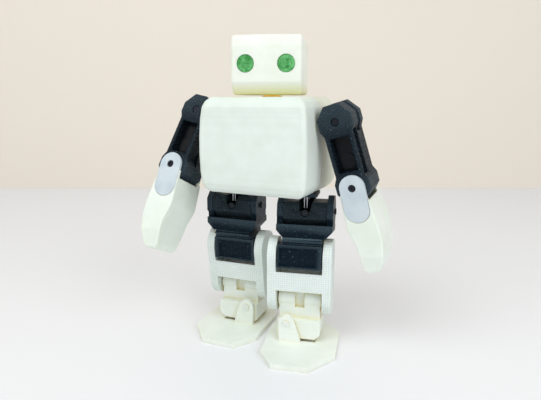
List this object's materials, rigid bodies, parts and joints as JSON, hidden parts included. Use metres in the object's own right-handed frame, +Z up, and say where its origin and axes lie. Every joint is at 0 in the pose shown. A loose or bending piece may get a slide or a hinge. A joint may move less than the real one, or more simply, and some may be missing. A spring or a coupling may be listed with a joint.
{
  "type": "humanoid robot kit",
  "caption": "Small printed humanoid robot with box head and body, servo joints in arms and legs, gauntlet forearms and wide eight-sided feet.",
  "frame": {"origin": "on the floor, under the middle of the standing robot's bounding box", "axes": "+Z up, the robot faces -Y and its own left hand is on the +X side"},
  "size_m": [0.1514, 0.0865, 0.2],
  "materials": {
    "white_plastic": "3D-printed white plastic, fine layer lines",
    "cream_plastic": "3D-printed natural white plastic",
    "black_plastic": "3D-printed blue-black plastic",
    "servo_case": "moulded black servo case",
    "screw_metal": "zinc-plated screws and pins",
    "cap_plastic": "translucent bluish printed plastic",
    "eye_plastic": "mottled green plastic",
    "board": "green circuit board",
    "battery_wrap": "shrink-wrapped battery pack"
  },
  "bodies": {
    "torso": {"torso_front_cover": "white_plastic", "torso_back_cover": "cream_plastic", "chassis_frame": "black_plastic", "battery_pack": "battery_wrap", "control_board": "board", "neck_collar": "cream_plastic", "back_screws": "screw_metal", "shoulder_servo_left": "servo_case", "shoulder_servo_right": "servo_case", "hip_servo_left": "servo_case", "hip_servo_right": "servo_case"},
    "head": {"head_shell": "white_plastic", "head_base": "cream_plastic", "eye_board": "board", "eye_left": "eye_plastic", "eye_right": "eye_plastic"},
    "shoulder_left": {"shoulder_hub_left": "black_plastic"},
    "upper_arm_left": {"arm_front_left": "black_plastic", "arm_rear_left": "black_plastic", "arm_servo_left": "servo_case", "arm_screws_left": "screw_metal", "elbow_screws_left": "screw_metal"},
    "forearm_left": {"forearm_shell_left": "white_plastic", "elbow_cap_left": "cap_plastic"},
    "hip_yaw_left": {"hip_bracket_left": "black_plastic", "hip_pins_left": "screw_metal"},
    "hip_roll_left": {"hip_block_left": "black_plastic", "hip_screws_left": "screw_metal"},
    "thigh_left": {"thigh_frame_left": "black_plastic", "knee_case_left": "servo_case", "knee_pins_left": "screw_metal"},
    "shin_left": {"shin_frame_left": "white_plastic"},
    "ankle_left": {"ankle_block_left": "white_plastic", "ankle_servo_left": "servo_case", "ankle_pins_left": "screw_metal", "foot_screws_left": "screw_metal"},
    "foot_left": {"foot_left": "white_plastic"},
    "shoulder_right": {"shoulder_hub_right": "black_plastic"},
    "upper_arm_right": {"arm_front_right": "black_plastic", "arm_rear_right": "black_plastic", "arm_servo_right": "servo_case", "arm_screws_right": "screw_metal", "elbow_screws_right": "screw_metal"},
    "forearm_right": {"forearm_shell_right": "white_plastic", "elbow_cap_right": "cap_plastic"},
    "hip_yaw_right": {"hip_bracket_right": "black_plastic", "hip_pins_right": "screw_metal"},
    "hip_roll_right": {"hip_block_right": "black_plastic", "hip_screws_right": "screw_metal"},
    "thigh_right": {"thigh_frame_right": "black_plastic", "knee_case_right": "servo_case", "knee_pins_right": "screw_metal"},
    "shin_right": {"shin_frame_right": "white_plastic"},
    "ankle_right": {"ankle_block_right": "white_plastic", "ankle_servo_right": "servo_case", "ankle_pins_right": "screw_metal", "foot_screws_right": "screw_metal"},
    "foot_right": {"foot_right": "white_plastic"}
  },
  "joints": [
    {"name": "head_pan", "type": "hinge", "parent": "torso", "child": "head", "pos_m": [-0.0049, 0.014, 0.16333], "axis": [0, 0, 1], "range_deg": [-77, 43]},
    {"name": "shoulder_pitch_left", "type": "hinge", "parent": "torso", "child": "shoulder_left", "pos_m": [0.0445, 0.0094, 0.14973], "axis": [1, 0, 0], "range_deg": [-141, 39]},
    {"name": "shoulder_roll_left", "type": "hinge", "parent": "shoulder_left", "child": "upper_arm_left", "pos_m": [0.0445, 0.0094, 0.14973], "axis": [0, -0.9945, -0.1045], "range_deg": [-6, 94]},
    {"name": "elbow_roll_left", "type": "hinge", "parent": "upper_arm_left", "child": "forearm_left", "pos_m": [0.0558, 0.01352, 0.11053], "axis": [0, -0.9945, -0.1045], "range_deg": [-17, 83]},
    {"name": "hip_yaw_left", "type": "hinge", "parent": "torso", "child": "hip_yaw_left", "pos_m": [0.0213, 0.014, 0.08963], "axis": [0, 0, 1], "range_deg": [-14, 22]},
    {"name": "hip_roll_left", "type": "hinge", "parent": "hip_yaw_left", "child": "hip_roll_left", "pos_m": [0.0213, 0.014, 0.08963], "axis": [0.225, -0.9744, 0], "range_deg": [-1.5, 15]},
    {"name": "hip_pitch_left", "type": "hinge", "parent": "hip_roll_left", "child": "thigh_left", "pos_m": [0.01952, 0.01102, 0.08963], "axis": [-0.9744, -0.225, 0], "range_deg": [-34, 71]},
    {"name": "knee_pitch_left", "type": "hinge", "parent": "thigh_left", "child": "shin_left", "pos_m": [0.02058, 0.00645, 0.06], "axis": [0.9744, 0.225, 0], "range_deg": [-14, 78]},
    {"name": "ankle_pitch_left", "type": "hinge", "parent": "shin_left", "child": "ankle_left", "pos_m": [0.02058, 0.00645, 0.03], "axis": [0.9744, 0.225, 0], "range_deg": [-40, 40]},
    {"name": "ankle_roll_left", "type": "hinge", "parent": "ankle_left", "child": "foot_left", "pos_m": [0.01308, 0.00472, 0.0162], "axis": [-0.225, 0.9744, 0], "range_deg": [-10, 10]},
    {"name": "shoulder_pitch_right", "type": "hinge", "parent": "torso", "child": "shoulder_right", "pos_m": [-0.0543, 0.0094, 0.14973], "axis": [1, 0, 0], "range_deg": [-110, 70]},
    {"name": "shoulder_roll_right", "type": "hinge", "parent": "shoulder_right", "child": "upper_arm_right", "pos_m": [-0.0543, 0.0094, 0.14973], "axis": [0, 0.9063, -0.4226], "range_deg": [-8, 98]},
    {"name": "elbow_roll_right", "type": "hinge", "parent": "upper_arm_right", "child": "forearm_right", "pos_m": [-0.06282, -0.00755, 0.11338], "axis": [0, 0.9063, -0.4226], "range_deg": [-10, 90]},
    {"name": "hip_yaw_right", "type": "hinge", "parent": "torso", "child": "hip_yaw_right", "pos_m": [-0.0311, 0.014, 0.08963], "axis": [0, 0, -1], "range_deg": [-12, 39]},
    {"name": "hip_roll_right", "type": "hinge", "parent": "hip_yaw_right", "child": "hip_roll_right", "pos_m": [-0.0311, 0.014, 0.08963], "axis": [-0.0698, 0.9976, 0], "range_deg": [-1.5, 15]},
    {"name": "hip_pitch_right", "type": "hinge", "parent": "hip_roll_right", "child": "thigh_right", "pos_m": [-0.02853, 0.01167, 0.08963], "axis": [-0.9976, -0.0698, 0], "range_deg": [-25, 80]},
    {"name": "knee_pitch_right", "type": "hinge", "parent": "thigh_right", "child": "shin_right", "pos_m": [-0.02853, 0.01167, 0.05963], "axis": [0.9976, 0.0698, 0], "range_deg": [-14, 78]},
    {"name": "ankle_pitch_right", "type": "hinge", "parent": "shin_right", "child": "ankle_right", "pos_m": [-0.02886, 0.01636, 0.03], "axis": [0.9976, 0.0698, 0], "range_deg": [-31, 49]},
    {"name": "ankle_roll_right", "type": "hinge", "parent": "ankle_right", "child": "foot_right", "pos_m": [-0.02118, 0.01689, 0.0162], "axis": [0.0698, -0.9976, 0], "range_deg": [-10, 10]}
  ]
}
